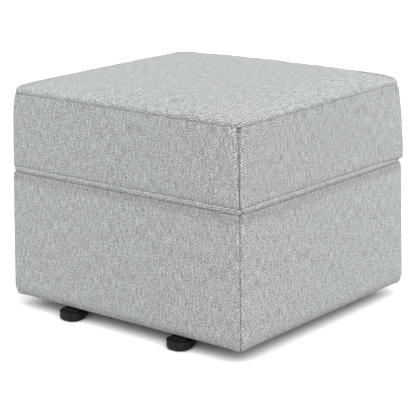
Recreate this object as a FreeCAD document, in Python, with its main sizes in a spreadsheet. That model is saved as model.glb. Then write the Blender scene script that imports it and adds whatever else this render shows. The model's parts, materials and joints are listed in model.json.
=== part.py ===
import FreeCAD, Part
import math
import os
import re
import Sketcher
from FreeCAD import Placement, Rotation, Vector

# Glider ottoman: an upholstered box with a piped cushion, hung from a hidden steel glider base.
# Origin: the middle of the floor under it. +Z is up, +X runs along the long face to the right,
# and the box glides along Y. All sizes are millimetres.

SIZES = {
    "box_width": 570,            # lower box over the cloth, along X
    "box_depth": 525.6,          # lower box over the cloth, along Y
    "floor_gap": 24,             # floor to the hem at rest
    "box_height": 253.2,         # hem to the seam under the cushion
    "cushion_height": 154.4,     # that seam to the seam under the top welt
    "crown_seat": 5.5,           # seam under the top welt to the crown's lowest edge
    "crown_height": 20,          # and from there to its top
    "crown_reach": 170,          # over which the crown levels off
    "crown_cloth": 2.5,
    "cloth": 2,                  # upholstery cloth with its backing
    "padding": 8,                # foam sheet over the boards
    "hem_wrap": 8,               # and under their lower edge
    "board": 15,                 # plywood sides
    "deck": 12,                  # plywood under the cushion
    "deck_inset": 14.5,
    "deck_corner": 12,
    "deck_screw_inset": 19,
    "deck_screw_spread": 200,    # outer deck screws from the middle, along X
    "deck_screw_pitch": 90,      # side deck screws from the middle, along Y
    "box_corner": 16,            # plan radius of the lower box
    "cushion_corner": 34,        # plan radius of the cushion
    "welt_radius": 6.3,          # covered piping cord
    "glide_length": 125,         # pivot to pivot on a swing arm
    "pivot_height": 175,         # upper pivots above the floor
    "pivot_spread": 85,          # pivots from the middle, along Y
    "rail_spread": 137.5,        # base rails from the middle, along X
    "rail_width": 30,
    "rail_height": 12,
    "rail_wall": 1.5,
    "rail_bottom": 7.5,
    "rail_half_length": 262,
    "cross_tube_place": 150,     # lower cross tubes from the middle, along Y
    "cross_tube_width": 25,
    "tie_height": 130,           # the round tube between the side plates
    "tie_radius": 9.5,
    "tie_wall": 1.5,
    "foot_width": 48,
    "foot_height": 18,
    "foot_toe": 19,              # how far the toe stands past the rail's end
    "foot_back": 22,             # how far the shoe reaches back along the rail
    "foot_corner": 20,
    "foot_round": 7,
    "foot_screw_back": 6,        # the shoe's screw from the rail's end
    "sole_flat": 7,              # behind this the sole leaves the floor
    "sole_rise": 11,             # and is this high at the shoe's back
    "plate": 3,                  # pressed steel of side plates and hangers
    "plate_inner": 142,          # inner face of a side plate, from the middle
    "plate_foot": 160,           # half length of a side plate at the rail
    "plate_head": 103,           # half length of a side plate at its top
    "plate_top": 193,
    "hole_height": 70,           # lightening holes, in two pairs
    "hole_radius": 21,
    "hole_near": 32,
    "hole_far": 95,
    "stop_out": 36.2,            # stop tabs from a pivot's line: an arm meets one at about 22.6 degrees
    "stop_down": 52.2,           # and below the upper pivot
    "stop_reach": 12,
    "stop_high": 12,             # height of a tab
    "arm": 5,                    # swing arm thickness
    "arm_inner": 129,            # inner face of a swing arm, from the middle
    "eye_radius": 13,
    "bolt_radius": 4,
    "bush_radius": 7,
    "flange_radius": 9.5,
    "flange": 0.9,
    "hanger_outer": 115,         # outer face of a hanger leg, from the middle
    "hanger_width": 36,
    "hanger_flange": 42,
    "hanger_top": 205,           # underside of the wooden mounting rails
    "hanger_bolt_near": 12,      # bolts from the hanger's leg
    "hanger_bolt_far": 32,
    "hanger_bolt_radius": 3,
    "mount_width": 60,
    "mount_height": 25,
    "block": 38,                 # corner blocks inside the box
    "cover_inset": 12,           # lining under the box, in from the cloth
    "slot_width": 34,            # its slots for the side plates
    "slot_length": 424,
}

TOP_SEAM = "(floor_gap + box_height + cushion_height)"
MID_SEAM = "(floor_gap + box_height)"
SIDES = {"left": -1, "right": 1}
ENDS = {"front": -1, "rear": 1}
TURN_TO_X = Rotation(Vector(0, 1, 0), 90)

doc = FreeCAD.newDocument("GliderOttoman")
sheet = doc.addObject("Spreadsheet::Sheet", "Sizes")
for row, (alias, value) in enumerate(SIZES.items(), start=1):
    sheet.set("A%d" % row, alias)
    sheet.set("B%d" % row, str(value))
    sheet.setAlias("B%d" % row, alias)
doc.recompute()

parts = []


def in_sheet(found):
    """A size's name as the sheet's cell; any other word stays."""
    return "Sizes." + found.group() if found.group() in SIZES else found.group()


def in_numbers(found):
    """A size's name as its value in the sheet."""
    return str(sheet.get(found.group()))


def with_sheet(text):
    """An expression whose size names point at the sheet."""
    return re.sub(r"[a-z_]+", in_sheet, str(text))


def size(text):
    """The value of an expression in the sheet's sizes."""
    return FreeCAD.Units.Quantity(re.sub(r"[a-z_]+", in_numbers, str(text))).Value


def bind(item, **values):
    """Tie properties to expressions; x, y and z stand for the place."""
    for name, text in values.items():
        target = "Placement.Base." + name if name in ("x", "y", "z") else name
        item.setExpression(target, with_sheet(text))
    return item


def keep(item, label):
    """Give a finished sub-part its own name."""
    item.Label = label
    parts.append(item)
    return item


def box(x, y, z, length, width, height):
    """A block from its lowest corner."""
    return bind(doc.addObject("Part::Box", "Block"), x=x, y=y, z=z, Length=length, Width=width, Height=height)


def middle_box(x, y, z, length, width, height):
    """A block centred on x and y, standing on z."""
    return box(f"({x}) - ({length}) / 2", f"({y}) - ({width}) / 2", z, length, width, height)


def cylinder(x, y, z, radius, height, along_x=False):
    """A round bar from its first end, upright or along X."""
    bar = doc.addObject("Part::Cylinder", "Bar")
    if along_x:
        bar.Placement = Placement(Vector(), TURN_TO_X)
    return bind(bar, x=x, y=y, z=z, Radius=radius, Height=height)


def hexagon(x, y, z, radius, height, along_x=False):
    """A hexagonal nut blank."""
    nut = doc.addObject("Part::Prism", "Nut")
    nut.Polygon = 6
    if along_x:
        nut.Placement = Placement(Vector(), TURN_TO_X)
    return bind(nut, x=x, y=y, z=z, Circumradius=radius, Height=height)


def cut(base, tool):
    item = doc.addObject("Part::Cut", "Cut")
    item.Base = base
    item.Tool = tool
    return item


def join(items):
    item = doc.addObject("Part::MultiFuse", "Join")
    item.Shapes = items
    return item


def group(items):
    item = doc.addObject("Part::Compound", "Group")
    item.Links = items
    return item


def feature(label, shape):
    """A sub-part whose shape is made here from the sheet's sizes."""
    item = doc.addObject("Part::Feature", "Form")
    item.Shape = shape
    return keep(item, label)


def origin_plane(body, role):
    """One of a body's own origin planes."""
    return next(plane for plane in body.Origin.OriginFeatures if plane.Role == role)


def outline(body, role, points, name):
    """A closed sketch of straight edges whose corners follow the sheet."""
    sketch = body.newObject("Sketcher::SketchObject", name)
    sketch.AttachmentSupport = [(origin_plane(body, role), "")]
    sketch.MapMode = "FlatFace"
    corners = [Vector(size(u), size(v), 0) for u, v in points]
    for start, end in zip(corners, corners[1:] + corners[:1]):
        sketch.addGeometry(Part.LineSegment(start, end), False)
    for index, (u, v) in enumerate(points):
        before = (index - 1) % len(points)
        sketch.addConstraint(Sketcher.Constraint("Coincident", before, 2, index, 1))
        for kind, text, value in (("DistanceX", u, corners[index].x), ("DistanceY", v, corners[index].y)):
            place = sketch.addConstraint(Sketcher.Constraint(kind, -1, 1, index, 1, value))
            sketch.setExpression("Constraints[%d]" % place, with_sheet(text))
    return sketch


def disc(body, role, u, v, radius, name):
    """A sketch of one circle."""
    sketch = body.newObject("Sketcher::SketchObject", name)
    sketch.AttachmentSupport = [(origin_plane(body, role), "")]
    sketch.MapMode = "FlatFace"
    centre = Vector(size(u), size(v), 0)
    sketch.addGeometry(Part.Circle(centre, Vector(0, 0, 1), size(radius)), False)
    rows = (("DistanceX", (-1, 1, 0, 3), u, centre.x), ("DistanceY", (-1, 1, 0, 3), v, centre.y),
            ("Radius", (0,), radius, size(radius)))
    for kind, ends, text, value in rows:
        place = sketch.addConstraint(Sketcher.Constraint(kind, *ends, value))
        sketch.setExpression("Constraints[%d]" % place, with_sheet(text))
    return sketch


def pad(body, sketch, length, reverse=False, middle=False):
    item = body.newObject("PartDesign::Pad", "Pad")
    item.Profile = sketch
    item.Reversed = reverse
    item.SideType = "Symmetric" if middle else "One side"
    return bind(item, Length=length)


def round_edges(body, base, radius, picked):
    """Fillet the edges of a feature that a test picks."""
    doc.recompute()
    names = ["Edge%d" % number for number, edge in enumerate(base.Shape.Edges, start=1) if picked(edge.BoundBox)]
    item = body.newObject("PartDesign::Fillet", "Fillet")
    item.Base = (base, names)
    return bind(item, Radius=radius)


def pocket(body, sketch):
    """Cut a sketch right through, to both sides of its plane."""
    item = body.newObject("PartDesign::Pocket", "Pocket")
    item.Profile = sketch
    item.Type = "ThroughAll"
    item.SideType = "Symmetric"
    return item


# Glider base: rails, cross tubes and side plates

def foot_screw(side, end):
    """A countersunk screw from under the shoe into the rail."""
    x = f"{side} * rail_spread"
    y = f"{end} * (rail_half_length - foot_screw_back)"
    head = cylinder(x, y, 1.5, 4.5, 2.5)
    shank = cylinder(x, y, 4, 2.2, 7)
    return join([head, shank])


foot_screws = keep(group([foot_screw(side, end) for side in SIDES.values() for end in ENDS.values()]),
                   "foot_screws")


def base_rail(side):
    """A rectangular steel tube along Y."""
    outer = middle_box(f"{side} * rail_spread", 0, "rail_bottom", "rail_width", "2 * rail_half_length",
                       "rail_height")
    hollow = middle_box(f"{side} * rail_spread", 0, "rail_bottom + rail_wall", "rail_width - 2 * rail_wall",
                        "2 * rail_half_length + 2", "rail_height - 2 * rail_wall")
    return cut(cut(outer, hollow), foot_screws)


def cross_tube(y):
    """A rectangular tube welded between the rails."""
    length = "2 * rail_spread - rail_width"
    outer = middle_box(0, y, "rail_bottom", length, "cross_tube_width", "rail_height")
    hollow = middle_box(0, y, "rail_bottom + rail_wall", f"{length} + 2", "cross_tube_width - 2 * rail_wall",
                        "rail_height - 2 * rail_wall")
    return cut(outer, hollow)


def upper_cross_tube():
    """A round tube that ties the two side plates together."""
    outer = cylinder("-plate_inner", 0, "tie_height", "tie_radius", "2 * plate_inner", along_x=True)
    bore = cylinder("-plate_inner - 1", 0, "tie_height", "tie_radius - tie_wall", "2 * plate_inner + 2",
                    along_x=True)
    return cut(outer, bore)


def side_plate(label, side):
    """A pressed plate on the rail with both upper pivots, lightening holes and bent stop tabs."""
    body = doc.addObject("PartDesign::Body", label + "_body")
    low = "rail_bottom + rail_height"
    corners = [("-plate_foot", low), ("plate_foot", low), ("plate_head", "plate_top"),
               ("-plate_head", "plate_top")]
    pad(body, outline(body, "YZ_Plane", corners, "PlateOutline"), "plate", reverse=side < 0)
    for end in ENDS.values():
        for way in (-1, 1):
            near = f"{end} * pivot_spread + {way} * stop_out"
            far = f"{end} * pivot_spread + {way} * (stop_out + plate)"
            high = "pivot_height - stop_down + stop_high / 3"
            low = "pivot_height - stop_down - 2 * stop_high / 3"
            tab = [(near, low), (far, low), (far, high), (near, high)]
            pad(body, outline(body, "YZ_Plane", tab, "StopTab"), "stop_reach", reverse=side > 0)
    holes = [(f"{end} * pivot_spread", "pivot_height", "bolt_radius + 0.1") for end in ENDS.values()]
    holes += [(f"{end} * {place}", "hole_height", "hole_radius") for end in ENDS.values()
              for place in ("hole_near", "hole_far")]
    for y, z, radius in holes:
        doc.recompute()
        pocket(body, disc(body, "YZ_Plane", y, z, radius, "Hole"))
    return bind(body, x=f"{side} * plate_inner")


def foot(label, side, end):
    """A moulded shoe on a rail's end: round toe, rising sole behind, open slot for the rail."""
    body = doc.addObject("PartDesign::Body", label + "_body")
    half = "foot_width / 2"
    front = "-foot_toe"
    plan = outline(body, "XY_Plane", [(f"-{half}", "foot_back"), (f"-{half}", front), (half, front),
                                      (half, "foot_back")], "ShoePlan")
    block = pad(body, plan, "foot_height")
    toe, back = -size("foot_toe"), size("foot_back")
    corners = round_edges(body, block, "foot_corner", lambda room: room.ZLength > 1 and room.YMax < toe + 0.1)
    round_edges(body, corners, "foot_round", lambda room: room.ZMax < 0.1 and room.YMin < back - 0.1)
    doc.recompute()
    slot = [("-rail_width / 2", "rail_bottom"), ("rail_width / 2", "rail_bottom"),
            ("rail_width / 2", "foot_height + 5"), ("-rail_width / 2", "foot_height + 5")]
    channel = body.newObject("PartDesign::Pocket", "RailSlot")
    channel.Profile = outline(body, "XZ_Plane", slot, "SlotSection")
    bind(channel, Length="foot_back + 5")
    doc.recompute()
    rise = [("sole_flat", -1), ("foot_back + 1", -1), ("foot_back + 1", "sole_rise"), ("sole_flat", 0)]
    pocket(body, outline(body, "YZ_Plane", rise, "SoleRise"))
    doc.recompute()
    for radius, top, name in ((4.5, 4, "ScrewHead"), (2.2, 20, "ScrewHole")):
        hole = body.newObject("PartDesign::Pocket", name)
        hole.Profile = disc(body, "XY_Plane", 0, "foot_screw_back", radius, name + "Circle")
        hole.Reversed = True
        bind(hole, Length=top)
        doc.recompute()
    body.Placement = Placement(Vector(), Rotation(Vector(0, 0, 1), 0 if end < 0 else 180))
    return bind(body, x=f"{side} * rail_spread", y=f"{end} * rail_half_length")


for name, side in SIDES.items():
    keep(base_rail(side), "base_rail_" + name)
for name, end in ENDS.items():
    keep(cross_tube(f"{end} * cross_tube_place"), "lower_cross_tube_" + name)
keep(upper_cross_tube(), "upper_cross_tube")
for name, side in SIDES.items():
    keep(side_plate("side_plate_" + name, side), "side_plate_" + name)
for end_name, end in ENDS.items():
    for side_name, side in SIDES.items():
        label = f"foot_{end_name}_{side_name}"
        keep(foot(label, side, end), label)


# Pivots: shoulder bolts, spacers and lock nuts

def along(side, start, length):
    """The lower X of a bar that runs outwards from start on one side."""
    return f"{start}" if side > 0 else f"-({start}) - ({length})"


def pivot_set(side, y, z, tip, head, spacer_from, spacer_to, nut_from):
    """A bolt, its spacer and its nut on one pivot axis, between distances from the middle."""
    shank = cylinder(along(side, tip, f"({head}) - ({tip})"), y, z, "bolt_radius", f"({head}) - ({tip})", True)
    cap = cylinder(along(side, head, 4.8), y, z, 6.8, 4.8, True)
    gap = f"({spacer_to}) - ({spacer_from})"
    sleeve = cylinder(along(side, spacer_from, gap), y, z, 7, gap, True)
    bore = cylinder(along(side, f"({spacer_from}) - 1", f"{gap} + 2"), y, z, "bolt_radius + 0.1", f"{gap} + 2",
                    True)
    blank = hexagon(along(side, nut_from, 6.5), y, z, 7.5, 6.5, True)
    thread = cylinder(along(side, f"({nut_from}) - 1", 8.5), y, z, "bolt_radius", 8.5, True)
    return join([shank, cap]), cut(sleeve, bore), cut(blank, thread)


upper = [pivot_set(side, f"{end} * pivot_spread", "pivot_height", "arm_inner - 9", "plate_inner + plate",
                   "arm_inner + arm + flange + 0.1", "plate_inner", "arm_inner - flange - 6.6")
         for side in SIDES.values() for end in ENDS.values()]
for label, items in zip(("upper_pivot_bolts", "upper_spacers", "upper_lock_nuts"), zip(*upper)):
    keep(group(list(items)), label)

lower = [pivot_set(side, f"{end} * pivot_spread", "pivot_height - glide_length", "hanger_outer - plate - 9",
                   "arm_inner + arm + flange + 0.1", "hanger_outer", "arm_inner - flange - 0.1",
                   "hanger_outer - plate - 6.5")
         for side in SIDES.values() for end in ENDS.values()]
for label, items in zip(("lower_pivot_bolts", "lower_spacers", "lower_lock_nuts"), zip(*lower)):
    keep(group(list(items)), label)


# Swing arms with their bearing bushes

def swing_arm(side, end):
    """A flat bar with a round eye at each end."""
    y = f"{end} * pivot_spread"
    low = "pivot_height - glide_length"
    x = along(side, "arm_inner", "arm")
    bar = box(x, f"{y} - eye_radius + 2", low, "arm", "2 * eye_radius - 4", "glide_length")
    eyes = [cylinder(x, y, z, "eye_radius", "arm", True) for z in (low, "pivot_height")]
    holes = [cylinder(along(side, "arm_inner - 1", "arm + 2"), y, z, "bush_radius", "arm + 2", True)
             for z in (low, "pivot_height")]
    return cut(join([bar] + eyes), group(holes))


def bush(side, y, z):
    """A flanged nylon sleeve pressed into an eye, with running clearance on its bolt."""
    sleeve = cylinder(along(side, "arm_inner", "arm"), y, z, "bush_radius", "arm", True)
    rims = [cylinder(along(side, start, "flange"), y, z, "flange_radius", "flange", True)
            for start in ("arm_inner - flange", "arm_inner + arm")]
    bore = cylinder(along(side, "arm_inner - 3", "arm + 6"), y, z, "bolt_radius + 0.05", "arm + 6", True)
    return cut(join([sleeve] + rims), bore)


for end_name, end in ENDS.items():
    for side_name, side in SIDES.items():
        y = f"{end} * pivot_spread"
        keep(swing_arm(side, end), f"swing_arm_{end_name}_{side_name}")
        pair = [bush(side, y, z) for z in ("pivot_height - glide_length", "pivot_height")]
        keep(group(pair), f"arm_bushes_{end_name}_{side_name}")


# Hangers that carry the box on the lower pivots

def hanger_bolt_places():
    """Where the hanger flanges bolt to the wooden mounting rails."""
    for side in SIDES.values():
        for end in ENDS.values():
            for inset in ("hanger_bolt_near", "hanger_bolt_far"):
                yield f"{side} * (hanger_outer - plate - {inset})", f"{end} * pivot_spread"


def hanger_bolt(x, y):
    head = cylinder(x, y, "hanger_top - plate - 3.5", 6, 3.5)
    shank = cylinder(x, y, "hanger_top - plate", "hanger_bolt_radius", "plate + mount_height + 7")
    return join([head, shank])


def hanger_nut(x, y):
    blank = hexagon(x, y, "hanger_top + mount_height", 5.8, 5)
    return cut(blank, cylinder(x, y, "hanger_top + mount_height - 1", "hanger_bolt_radius", 7))


hanger_bolts = keep(group([hanger_bolt(x, y) for x, y in hanger_bolt_places()]), "hanger_bolts")
keep(group([hanger_nut(x, y) for x, y in hanger_bolt_places()]), "hanger_nuts")


def hanger(label, side, end):
    """An L of pressed steel: a leg down to the lower pivot and a flange under the mounting rail."""
    body = doc.addObject("PartDesign::Body", label + "_body")
    out, inner = f"{side} * hanger_outer", f"{side} * (hanger_outer - plate)"
    reach = f"{side} * (hanger_outer - hanger_flange)"
    low = "pivot_height - glide_length - 15"
    section = [(out, low), (out, "hanger_top"), (reach, "hanger_top"), (reach, "hanger_top - plate"),
               (inner, "hanger_top - plate"), (inner, low)]
    pad(body, outline(body, "XZ_Plane", section, "Section"), "hanger_width", middle=True)
    doc.recompute()
    pocket(body, disc(body, "YZ_Plane", 0, "pivot_height - glide_length", "bolt_radius + 0.1", "PivotHole"))
    doc.recompute()
    for inset in ("hanger_bolt_near", "hanger_bolt_far"):
        x = f"{side} * (hanger_outer - plate - {inset})"
        pocket(body, disc(body, "XY_Plane", x, 0, "hanger_bolt_radius", "FlangeHole"))
        doc.recompute()
    return bind(body, y=f"{end} * pivot_spread")


for end_name, end in ENDS.items():
    for side_name, side in SIDES.items():
        label = f"hanger_{end_name}_{side_name}"
        keep(hanger(label, side, end), label)


# Wooden box: boards, blocks, mounting rails and deck

BOARD_INSET = "(cloth + padding)"
BOARD_BOTTOM = "(floor_gap + cloth + hem_wrap)"
BOARD_TOP = f"({MID_SEAM} - 4)"
INNER_HALF_X = f"(box_width / 2 - {BOARD_INSET} - board)"
INNER_HALF_Y = f"(box_depth / 2 - {BOARD_INSET} - board)"


def wood_screw(x, y):
    """A countersunk screw down through the deck into a board."""
    top = f"{BOARD_TOP} + deck"
    head = cylinder(x, y, f"{top} - 3", 4, 3)
    shank = cylinder(x, y, f"{top} - 35", 2, 32)
    return join([head, shank])


def deck_screw_places():
    line_x = "(box_width / 2 - deck_screw_inset)"
    line_y = "(box_depth / 2 - deck_screw_inset)"
    for way in (-1, 0, 1):
        for end in ENDS.values():
            yield f"{way} * deck_screw_spread", f"{end} * {line_y}"
    for way in (-1, 1):
        for side in SIDES.values():
            yield f"{side} * {line_x}", f"{way} * deck_screw_pitch"


deck_screws = keep(group([wood_screw(x, y) for x, y in deck_screw_places()]), "deck_screws")


def mounting_screw(x, z, end):
    """A screw through an end board into a mounting rail."""
    screw = cylinder(x, f"{end} * ({INNER_HALF_Y} + board / 2)", z, 2.5, 50)
    turn = Rotation(Vector(1, 0, 0), 90 * end)
    screw.Placement = Placement(Vector(), turn)
    return bind(screw, x=x, y=f"{end} * ({INNER_HALF_Y} + board)", z=z)


mounting_screws = keep(group([mounting_screw(f"{side} * {x}", "hanger_top + mount_height / 2", end)
                              for side in SIDES.values() for x in (75, 108) for end in ENDS.values()]),
                       "mounting_screws")


def end_board(end):
    """The front or rear board, the full width of the frame."""
    y = f"{end} * ({INNER_HALF_Y} + board / 2)"
    blank = middle_box(0, y, BOARD_BOTTOM, f"2 * ({INNER_HALF_X} + board)", "board",
                       f"{BOARD_TOP} - {BOARD_BOTTOM}")
    return cut(cut(blank, deck_screws), mounting_screws)


def side_board(side):
    """A side board between the front and rear boards."""
    x = f"{side} * ({INNER_HALF_X} + board / 2)"
    blank = middle_box(x, 0, BOARD_BOTTOM, "board", f"2 * {INNER_HALF_Y}", f"{BOARD_TOP} - {BOARD_BOTTOM}")
    return cut(blank, deck_screws)


def mounting_rail(side):
    """A beech rail from front board to rear board that the hangers bolt to."""
    x = f"{side} * (hanger_outer - 23)"
    blank = middle_box(x, 0, "hanger_top", "mount_width", f"2 * {INNER_HALF_Y}", "mount_height")
    return cut(cut(blank, hanger_bolts), mounting_screws)


def corner_block(side, end):
    x = f"{side} * ({INNER_HALF_X} - block / 2)"
    y = f"{end} * ({INNER_HALF_Y} - block / 2)"
    return middle_box(x, y, f"{BOARD_BOTTOM} + 14", "block", "block", f"{BOARD_TOP} - {BOARD_BOTTOM} - 14")


for name, end in ENDS.items():
    keep(end_board(end), name + "_board")
for name, side in SIDES.items():
    keep(side_board(side), name + "_board")
    keep(mounting_rail(side), "mounting_rail_" + name)
keep(group([corner_block(side, end) for side in SIDES.values() for end in ENDS.values()]), "corner_blocks")


def seat_deck():
    """The plywood under the cushion, its corners rounded to stay inside the welt."""
    body = doc.addObject("PartDesign::Body", "seat_deck_body")
    half_x, half_y = "(box_width / 2 - deck_inset)", "(box_depth / 2 - deck_inset)"
    corners = [(f"-{half_x}", f"-{half_y}"), (half_x, f"-{half_y}"), (half_x, half_y), (f"-{half_x}", half_y)]
    board = pad(body, outline(body, "XY_Plane", corners, "DeckOutline"), "deck")
    round_edges(body, board, "deck_corner", lambda room: room.ZLength > 1)
    return cut(bind(body, z=BOARD_TOP), deck_screws)


keep(seat_deck(), "seat_deck")


def dust_cover():
    """A stapled black cloth under the hem, with a long slot for each side plate to swing in."""
    sheet_cloth = middle_box(0, 0, "floor_gap - 1", "box_width - 2 * cover_inset",
                             "box_depth - 2 * cover_inset", 1)
    slots = [middle_box(f"{side} * (plate_inner - 1)", 0, "floor_gap - 2", "slot_width", "slot_length", 3)
             for side in SIDES.values()]
    return cut(sheet_cloth, group(slots))


keep(dust_cover(), "dust_cover")


# Soft forms: every one is a stack of rounded rectangles

def on_arc(centre, radius, degrees):
    """A point round a centre."""
    turn = math.radians(degrees)
    return centre + Vector(radius * math.cos(turn), radius * math.sin(turn), 0)


def rounded_wire(inset, level, radius):
    """A rounded rectangle inside the box's outline by inset, at a level."""
    far_x = size("box_width") / 2 - inset - radius
    far_y = size("box_depth") / 2 - inset - radius
    centres = [Vector(far_x, -far_y, level), Vector(far_x, far_y, level), Vector(-far_x, far_y, level),
               Vector(-far_x, -far_y, level)]
    edges = []
    for index, centre in enumerate(centres):
        first = 90 * index - 90
        start, middle, end = (on_arc(centre, radius, first + turn) for turn in (0, 45, 90))
        edges.append(Part.Arc(start, middle, end).toShape())
        after = centres[(index + 1) % 4]
        edges.append(Part.LineSegment(end, on_arc(after, radius, first + 90)).toShape())
    return Part.Wire(edges)


def loft(rows):
    """A closed form through rows of inset, level and corner radius."""
    return Part.makeLoft([rounded_wire(*row) for row in rows], True, True)


def straight(inset, low, high, radius):
    """An upright rounded block."""
    return Part.Face(rounded_wire(inset, low, radius)).extrude(Vector(0, 0, high - low))


def plain(inset, low, high):
    """An upright block with square corners."""
    half_x = size("box_width") / 2 - inset
    half_y = size("box_depth") / 2 - inset
    return Part.makeBox(2 * half_x, 2 * half_y, high - low, Vector(-half_x, -half_y, low))


def quarter(name):
    """The wedge of space that holds one face of the box, cut at the corner seams."""
    half_x, half_y = size("box_width") / 2 + 10, size("box_depth") / 2 + 10
    keel = half_x - half_y
    front = [(-half_x, -half_y), (half_x, -half_y), (keel, 0), (-keel, 0)]
    right = [(half_x, -half_y), (half_x, half_y), (keel, 0)]
    corners = front if name in ("front", "rear") else right
    sign = -1 if name in ("rear", "left") else 1
    points = [Vector(sign * x, sign * y, 0) for x, y in corners]
    return Part.Face(Part.makePolygon(points + points[:1])).extrude(Vector(0, 0, 600))


def four_faces(shape, label):
    """Split a ring of cloth or foam at its four corner seams."""
    for name in ("front", "rear", "left", "right"):
        feature(f"{label}_{name}", shape.common(quarter(name)).Solids[0])


def welt(level, inset, radius, corner):
    """A covered cord swept round a rounded rectangle."""
    path = rounded_wire(inset, level, corner)
    start = path.Edges[1].valueAt(path.Edges[1].FirstParameter)
    along_path = path.Edges[1].tangentAt(path.Edges[1].FirstParameter)
    circle = Part.Wire(Part.Circle(start, along_path, radius).toShape())
    return path.makePipeShell([circle], True, False)


hem = size("floor_gap")
mid_seam = size(MID_SEAM)
top_seam = size(TOP_SEAM)
cloth = size("cloth")
padding = size("padding")
box_corner = size("box_corner")
cushion_corner = size("cushion_corner")
cord = size("welt_radius")
board_top = size(BOARD_TOP)


def tucked(low, high, low_tuck, low_reach, high_tuck, high_reach):
    """Rows of level and tuck: a side drawn in towards its lower and upper seams by smooth curves."""
    steps = (0, 0.12, 0.3, 0.6, 1)
    for step in steps:
        yield low + low_reach * step, low_tuck * (1 - step) ** 2
    for step in reversed(steps):
        yield high - high_reach * step, high_tuck * (1 - step) ** 2


def box_form(inset, low, high):
    """The lower box: tucked in at the hem and under the cushion, full between."""
    rows = tucked(low, high, 6.5, 24, 2.8, 22)
    return loft([(tuck + inset, level, box_corner - inset / 2) for level, tuck in rows])


cover = box_form(0, hem, mid_seam - 0.3)
inside = box_form(cloth, hem + cloth, mid_seam + 1)
cover_ring = cover.cut(inside).cut(plain(26, hem - 1, hem + 3))
four_faces(cover_ring, "box_cover")

pad_form = box_form(cloth + 0.2, hem + cloth + 0.1, mid_seam - 0.3)
pad_ring = pad_form.cut(plain(cloth + padding, size(BOARD_BOTTOM), mid_seam + 5))
pad_ring = pad_ring.cut(plain(cloth + padding + size("board"), hem, mid_seam))
four_faces(pad_ring, "box_padding")

bottom_welt = welt(mid_seam + cord + 0.2, cord + 1.2, cord, cushion_corner - cord - 10)
top_welt = welt(top_seam + cord + 0.2, cord + 1.6, cord, cushion_corner - cord)
feature("bottom_welt", bottom_welt)
feature("top_welt", top_welt)
clear_rings = [welt(mid_seam + cord + 0.2, cord + 1.2, cord + 0.3, cushion_corner - cord - 10),
               welt(top_seam + cord + 0.2, cord + 1.6, cord + 0.3, cushion_corner - cord)]

band_low = mid_seam + 2 * cord + 0.5
band = loft([(tuck, level, cushion_corner - 12 * (1 - (level - band_low) / (top_seam - band_low)))
             for level, tuck in tucked(band_low, top_seam, 2.6, 34, 2.6, 34)])
band_hollow = straight(6, band_low - 2, top_seam + 2, cushion_corner - 12)
four_faces(band.cut(band_hollow), "boxing")


crown_low = top_seam + size("crown_seat")


def crown(drop):
    """The crowned top: it rises quickly beside the welt and levels off over a hand's width."""
    rim = 2 * cord + 2.2
    rows = []
    for step in (0, 0.03, 0.08, 0.16, 0.3, 0.5, 0.75, 1):
        rise = size("crown_height") * (1 - (1 - step) ** 5)
        radius = cushion_corner - cord - 6 + 30 * step
        rows.append((rim + size("crown_reach") * step, crown_low + rise - drop, radius))
    return loft(rows)


feature("top_panel", crown(0).cut(crown(size("crown_cloth"))))

core = straight(6.3, board_top + size("deck") + 0.2, crown_low - 0.7, cushion_corner - 12)
foam = core.fuse(crown(size("crown_cloth") + 0.3)).cut(clear_rings[0]).cut(clear_rings[1])
feature("seat_foam", foam.removeSplitter())

doc.recompute()
for item in doc.Objects:
    if "Invalid" in item.State or "Error" in item.State:
        raise RuntimeError("%s failed: %s" % (item.Label, item.State))
os.makedirs("parts", exist_ok=True)
for item in parts:
    shape = item.Shape
    if shape.isNull() or not shape.isValid() or not shape.Solids:
        raise RuntimeError("%s has no valid shape" % item.Label)
    shape.exportStep("parts/%s.step" % item.Label)
    room = shape.BoundBox
    print("%-24s %d solids, %8.1f cm3, x %.1f to %.1f, y %.1f to %.1f, z %.1f to %.1f" % (
        item.Label, len(shape.Solids), shape.Volume / 1000,
        room.XMin, room.XMax, room.YMin, room.YMax, room.ZMin, room.ZMax))
print(len(parts), "nodes")
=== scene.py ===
# %% [markdown]
# A glider ottoman: a padded box with a boxed cushion, both in pale sage tweed, on a hidden steel base. The
# steel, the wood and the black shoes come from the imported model, which this script never moves. Everything
# soft is made here as surfaces over a grid of two numbers, because cloth is a sheet with two directions, its
# warp and its weft, and the same two numbers then carry the weave. All lengths are metres.

# %% Frame
import json
import math

import bpy
import numpy as np
from mathutils import Matrix, Vector


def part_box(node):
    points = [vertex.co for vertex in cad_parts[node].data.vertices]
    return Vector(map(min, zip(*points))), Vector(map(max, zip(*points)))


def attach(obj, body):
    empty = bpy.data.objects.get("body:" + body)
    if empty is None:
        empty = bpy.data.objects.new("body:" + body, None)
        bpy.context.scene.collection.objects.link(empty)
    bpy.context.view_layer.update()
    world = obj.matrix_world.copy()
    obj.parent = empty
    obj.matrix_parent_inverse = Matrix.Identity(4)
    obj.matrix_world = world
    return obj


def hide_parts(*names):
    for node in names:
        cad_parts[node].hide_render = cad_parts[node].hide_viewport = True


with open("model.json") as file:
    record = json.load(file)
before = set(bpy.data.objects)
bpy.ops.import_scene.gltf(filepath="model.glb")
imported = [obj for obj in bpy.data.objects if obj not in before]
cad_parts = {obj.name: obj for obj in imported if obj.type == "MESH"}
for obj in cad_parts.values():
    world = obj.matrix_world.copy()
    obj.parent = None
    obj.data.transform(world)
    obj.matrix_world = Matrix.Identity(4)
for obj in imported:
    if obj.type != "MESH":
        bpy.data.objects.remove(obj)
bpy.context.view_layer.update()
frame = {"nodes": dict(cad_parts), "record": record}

record = frame["record"]
nodes = frame["nodes"]
mm = 0.001

# %% [markdown]
# The model's own soft solids say where the cloth goes. Reading a handful of their corners gives the few
# lengths that every surface below is worked out from, so the looks follow the construction if it changes.
# Real piping is squeezed outwards between the seams, so both cords stand a little further out than the
# model's, and the upper one is drawn down a little.

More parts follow.
